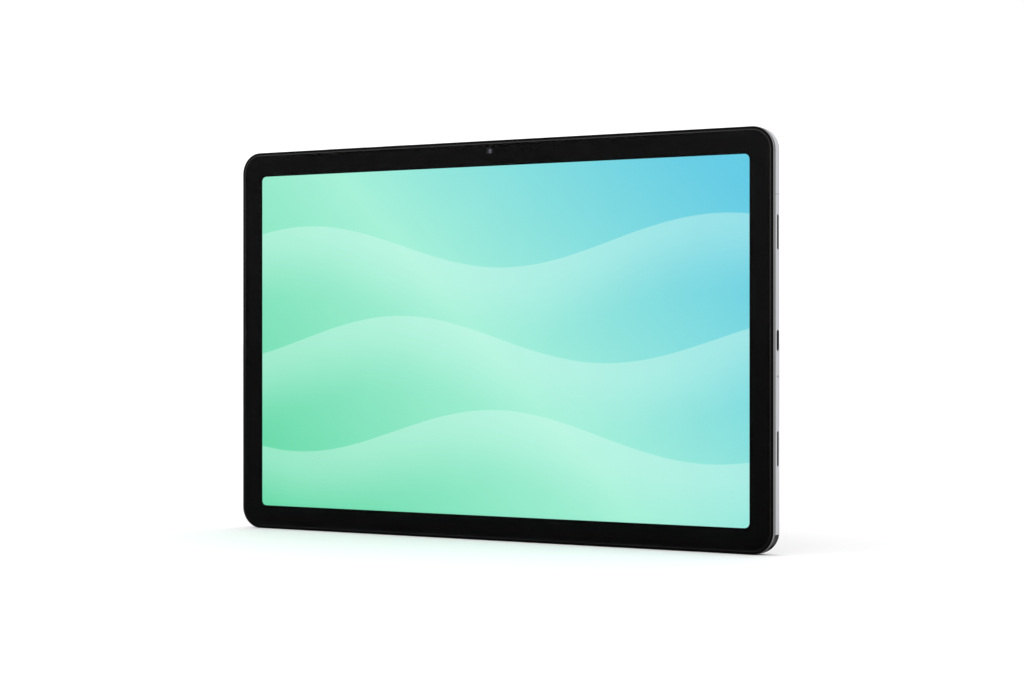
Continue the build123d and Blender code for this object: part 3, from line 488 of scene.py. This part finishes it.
def dress_nodes():
    """Give every CAD node the material of its record slot, and the microphones a dark mesh."""
    made = finishes()
    for subpart in frame["record"]["subparts"]:
        slot = "dark_mesh" if subpart["node"] == "microphones" else subpart["material_slot"]
        if slot in made:
            node = NODES[subpart["node"]]
            node.data.materials.clear()
            node.data.materials.append(made[slot])


# ---- Pieces built here --------------------------------------------------------------------------


def rounded_loop(inset, depth, corner_steps=24):
    """Points round the body's outline, drawn in by inset, at a depth behind the glass front."""
    half_x = HALF_WIDTH - inset
    half_z = (BODY_HIGH.z - BODY_LOW.z) / 2 - inset
    radius = BODY_CORNER - inset
    points = []
    for quarter in range(4):
        way_x = (1, -1, -1, 1)[quarter]
        way_z = (1, 1, -1, -1)[quarter]
        for step in range(corner_steps + 1):
            angle = (quarter + step / corner_steps) * math.pi / 2
            x = way_x * (half_x - radius) + radius * math.cos(angle)
            z = MIDDLE_Z + way_z * (half_z - radius) + radius * math.sin(angle)
            points.append((x, GLASS_LOW.y + depth, z))
    return points


def loft(name, loops, smooth=True):
    """Closed mesh through loops of equal length, capped at both ends."""
    mesh = bpy.data.meshes.new(name)
    bm = bmesh.new()
    rings = [[bm.verts.new(point) for point in loop] for loop in loops]
    count = len(rings[0])
    for first, second in zip(rings, rings[1:]):
        for at in range(count):
            after = (at + 1) % count
            face = bm.faces.new((first[at], first[after], second[after], second[at]))
            face.smooth = smooth
    front = bm.faces.new(rings[0][::-1])
    front.smooth = smooth
    bm.faces.new(rings[-1])
    bmesh.ops.recalc_face_normals(bm, faces=bm.faces)
    bm.to_mesh(mesh)
    bm.free()
    piece = bpy.data.objects.new(name, mesh)
    bpy.context.scene.collection.objects.link(piece)
    return piece


def front_glass():
    """Cover glass whose edge rolls off towards the front frame."""
    rim = GLASS_LOW.x - BODY_LOW.x
    thick = GLASS_HIGH.y - GLASS_LOW.y
    flat = rim + GLASS_EDGE_IN
    profile = [(flat + 2 * GLASS_LINE, 0.0), (flat + GLASS_LINE, 0.0), (flat, 0.0)]
    for step in range(1, GLASS_ROLL_STEPS + 1):
        turn = step / GLASS_ROLL_STEPS * math.pi / 2
        inset = rim + GLASS_EDGE_IN * (1 - math.sin(turn))
        profile.append((inset, GLASS_EDGE_DOWN * (1 - math.cos(turn))))
    profile.append((rim, thick - SKIN))
    piece = loft("front_glass", [rounded_loop(inset, depth) for inset, depth in profile])
    flat_glass = glass("screen_glass", COATED_INDEX)
    # Painted highlight: a grey line round the glass where its edge starts to roll; the rolled edge
    # beyond it gets a fainter painted sheen, both greyer towards the top
    highlight_line_glass = painted_sheen_band("glass_painted_highlight_line", 0.010, 0.032, 0.3)
    sheen_edge_glass = painted_sheen_band("glass_edge_painted_sheen", 0.0008, 0.0025, 0.4)
    for finish in (flat_glass, highlight_line_glass, sheen_edge_glass, clear_back("glass_back")):
        piece.data.materials.append(finish)
    around = len(rounded_loop(rim, 0.0))
    for face in piece.data.polygons[:-2]:
        band = face.index // around
        face.material_index = min(band, 2)
    piece.data.polygons[-1].material_index = 3
    piece.data.polygons[-1].use_smooth = False
    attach(piece, "tablet")
    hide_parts("cover_glass")
    return piece


def adhesive_sheet():
    """Clear bonding sheet between the glass and the panel."""
    loops = []
    for depth in (SHEET_LOW.y + SKIN, SHEET_HIGH.y - SKIN):
        corners = []
        for way_x, way_z in ((1, 1), (-1, 1), (-1, -1), (1, -1)):
            x = SHEET_HIGH.x * way_x
            z = MIDDLE_Z + (SHEET_HIGH.z - SHEET_LOW.z) / 2 * way_z
            corners.append((x, depth, z))
        loops.append(corners)
    piece = loft("adhesive_sheet", loops, False)
    piece.data.materials.append(clear_back("clear_film"))
    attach(piece, "tablet")
    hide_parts("optical_adhesive")
    return piece


def camera_window():
    """Dark window over the rear camera."""
    window = NODES["rear_camera_glass"]
    window.data.materials.clear()
    window.data.materials.append(glass("camera_glass", CAMERA_WINDOW_INDEX, CAMERA_WINDOW_TINT))


# ---- Stage --------------------------------------------------------------------------------------


def studio():
    """Plain pale floor under a white sky that dims a little overhead."""
    world = bpy.data.worlds.new("studio")
    bpy.context.scene.world = world
    world.use_nodes = True
    world.node_tree.nodes.clear()
    tree = world.node_tree
    output = tree.nodes.new("ShaderNodeOutputWorld")
    place = tree.nodes.new("ShaderNodeTexCoord")
    split = tree.nodes.new("ShaderNodeSeparateXYZ")
    climb = tree.nodes.new("ShaderNodeMapRange")
    light = tree.nodes.new("ShaderNodeBackground")
    tree.links.new(place.outputs["Generated"], split.inputs[0])
    tree.links.new(split.outputs["Z"], climb.inputs["Value"])
    climb.inputs["To Min"].default_value = SKY_LEVEL
    climb.inputs["To Max"].default_value = SKY_TOP
    tree.links.new(climb.outputs[0], light.inputs["Strength"])
    tree.links.new(light.outputs[0], output.inputs["Surface"])

    bpy.ops.mesh.primitive_circle_add(vertices=96, radius=FLOOR_RADIUS, fill_type="NGON")
    floor = bpy.context.object
    floor.name = "floor"
    floor.location = (0, 0, -FLOOR_GAP)
    made, g = material("floor")
    shade = g.ramp(g.noise(400.0, 2.0), ((0.0, (0.83, 0.83, 0.83)), (1.0, (0.86, 0.86, 0.86))))
    g.surface(g.principled(shade, 0.9, **{"Specular IOR Level": 0.1}))
    floor.data.materials.append(made)


def soft_light(name, place, aim, size, power):
    """Square soft box at a place, facing a point."""
    lamp = bpy.data.lights.new(name, "AREA")
    lamp.shape = "RECTANGLE"
    lamp.size, lamp.size_y = size
    lamp.energy = power
    holder = bpy.data.objects.new(name, lamp)
    bpy.context.scene.collection.objects.link(holder)
    holder.location = place
    direction = Vector(aim) - Vector(place)
    holder.rotation_euler = direction.to_track_quat("-Z", "Y").to_euler()


def camera():
    """Level camera in front of the tablet and to its right, turned towards it."""
    lens = bpy.data.cameras.new("camera")
    lens.lens = CAMERA_LENS
    lens.sensor_width = CAMERA_SENSOR
    lens.clip_start = 0.01
    holder = bpy.data.objects.new("camera", lens)
    bpy.context.scene.collection.objects.link(holder)
    holder.location = CAMERA_PLACE
    holder.rotation_euler = (math.pi / 2, 0.0, CAMERA_TURN)
    bpy.context.scene.camera = holder


camera()
dress_nodes()
front_glass()
adhesive_sheet()
camera_window()
studio()
soft_light("key", (-1.2, -1.0, 1.6), LIGHT_AIM, (1.2, 1.2), 10.0)
soft_light("fill", (1.6, 0.6, 0.9), LIGHT_AIM, (0.8, 0.8), 5.0)
bpy.context.scene.view_settings.view_transform = "Standard"
